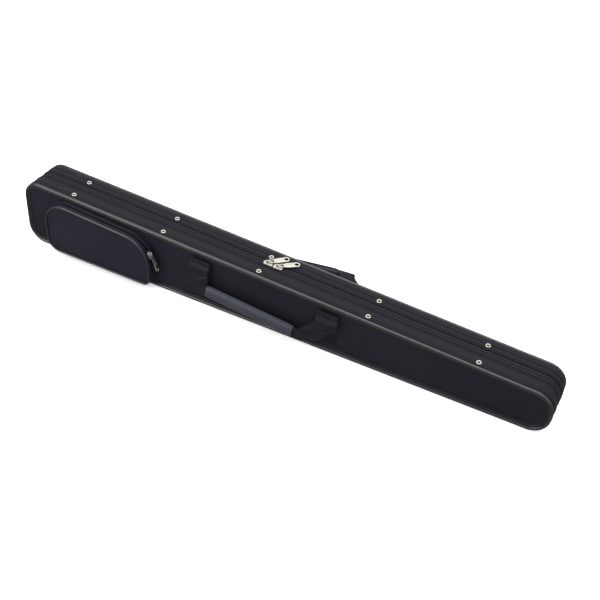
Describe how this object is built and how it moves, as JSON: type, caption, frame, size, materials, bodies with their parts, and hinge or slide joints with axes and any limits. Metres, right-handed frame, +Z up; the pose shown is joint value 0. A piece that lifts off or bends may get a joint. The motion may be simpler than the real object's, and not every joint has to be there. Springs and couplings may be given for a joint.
{
  "type": "cue case",
  "caption": "Long tapered zip-round clamshell case with foam cue channels, a front pocket and two carry handles.",
  "frame": {"origin": "middle of the spine's underside, on the surface that the case stands on", "axes": "+X along the case towards its narrow end, -Y towards the pocket side, +Z up"},
  "size_m": [0.82, 0.105, 0.1055],
  "materials": {
    "nylon": "woven, matt",
    "band": "woven, matt",
    "pocket_nylon": "woven, matt",
    "webbing": "ribbed, matt",
    "piping": "satin",
    "zip": "satin",
    "tape": "woven, matt",
    "nickel": "polished nickel",
    "leatherette": "fine grain, satin",
    "foam": "closed-cell foam, matt",
    "board": "fibreboard"
  },
  "bodies": {
    "rear_shell": {"rear_cover_band": "band", "rear_cover_panel": "nylon", "rear_face_board": "board", "rear_face_padding": "foam", "rear_foam_base": "foam", "rear_foam_rails": "foam", "rear_frame": "board", "rear_piping": "piping", "rear_rivet_washers": "nickel", "rear_rivets": "nickel", "rear_spine_strip": "tape", "rear_trim": "piping", "rear_zip_coil": "zip", "rear_zip_tape": "tape", "rear_handle_patches": "webbing"},
    "front_shell": {"front_cover_band": "band", "front_cover_panel": "nylon", "front_face_board": "board", "front_face_padding": "foam", "front_foam_base": "foam", "front_foam_rails": "foam", "front_frame": "board", "front_piping": "piping", "front_rivet_washers": "nickel", "front_rivets": "nickel", "front_spine_strip": "tape", "front_trim": "piping", "front_zip_coil": "zip", "front_zip_tape": "tape", "front_handle_patches": "webbing", "pocket_back": "pocket_nylon", "pocket_gusset_inner": "pocket_nylon", "pocket_zip_coil_inner": "zip", "pocket_fold": "pocket_nylon"},
    "pocket_flap": {"pocket_gusset_outer": "pocket_nylon", "pocket_zip_coil_outer": "zip", "pocket_piping": "piping", "pocket_face": "pocket_nylon"},
    "front_handle": {"front_handle_strap_left": "webbing", "front_handle_strap_right": "webbing", "front_handle_grip": "leatherette", "front_handle_filler": "foam"},
    "rear_handle": {"rear_handle_strap_left": "webbing", "rear_handle_strap_right": "webbing", "rear_handle_grip": "leatherette", "rear_handle_filler": "foam"},
    "left_slider": {"left_slider": "nickel"},
    "right_slider": {"right_slider": "nickel"},
    "left_pull": {"left_pull": "nickel"},
    "right_pull": {"right_pull": "nickel"},
    "pocket_slider": {"pocket_slider": "nickel"},
    "pocket_pull": {"pocket_pull": "nickel"}
  },
  "joints": [
    {"name": "case_open", "type": "hinge", "parent": "rear_shell", "child": "front_shell", "pos_m": [0, 0, -0.00015], "axis": [1, 0, 0], "range_deg": [0, 180]},
    {"name": "left_slider_travel", "type": "slide", "parent": "rear_shell", "child": "left_slider", "axis": [-0.9988, 0, 0.0499], "range_m": [0, 0.35]},
    {"name": "right_slider_travel", "type": "slide", "parent": "rear_shell", "child": "right_slider", "axis": [0.9988, 0, -0.0499], "range_m": [0, 0.36]},
    {"name": "left_pull_swing", "type": "hinge", "parent": "left_slider", "child": "left_pull", "pos_m": [-0.01507, 0, 0.08986], "axis": [0.7184, -0.6947, -0.0359], "range_deg": [0, 160]},
    {"name": "right_pull_swing", "type": "hinge", "parent": "right_slider", "child": "right_pull", "pos_m": [0.00043, 0, 0.08908], "axis": [0.642, -0.766, -0.0321], "range_deg": [0, 160]},
    {"name": "front_handle_lift", "type": "hinge", "parent": "front_shell", "child": "front_handle", "pos_m": [0, -0.0352, 0.073], "axis": [-0.9988, 0, 0.0499], "range_deg": [0, 160]},
    {"name": "rear_handle_lift", "type": "hinge", "parent": "rear_shell", "child": "rear_handle", "pos_m": [0, 0.0352, 0.073], "axis": [0.9988, 0, -0.0499], "range_deg": [-12, 28]},
    {"name": "pocket_open", "type": "hinge", "parent": "front_shell", "child": "pocket_flap", "pos_m": [-0.2715, -0.0405, 0.009], "axis": [1, 0, 0], "range_deg": [0, 55]},
    {"name": "pocket_slider_travel", "type": "hinge", "parent": "front_shell", "child": "pocket_slider", "pos_m": [-0.225, -0.0405, 0.0429], "axis": [0, -1, 0], "range_deg": [-20, 55]},
    {"name": "pocket_pull_swing", "type": "hinge", "parent": "pocket_slider", "child": "pocket_pull", "pos_m": [-0.18197, -0.0405, 0.06206], "axis": [0, -1, 0], "range_deg": [0, 150]}
  ]
}
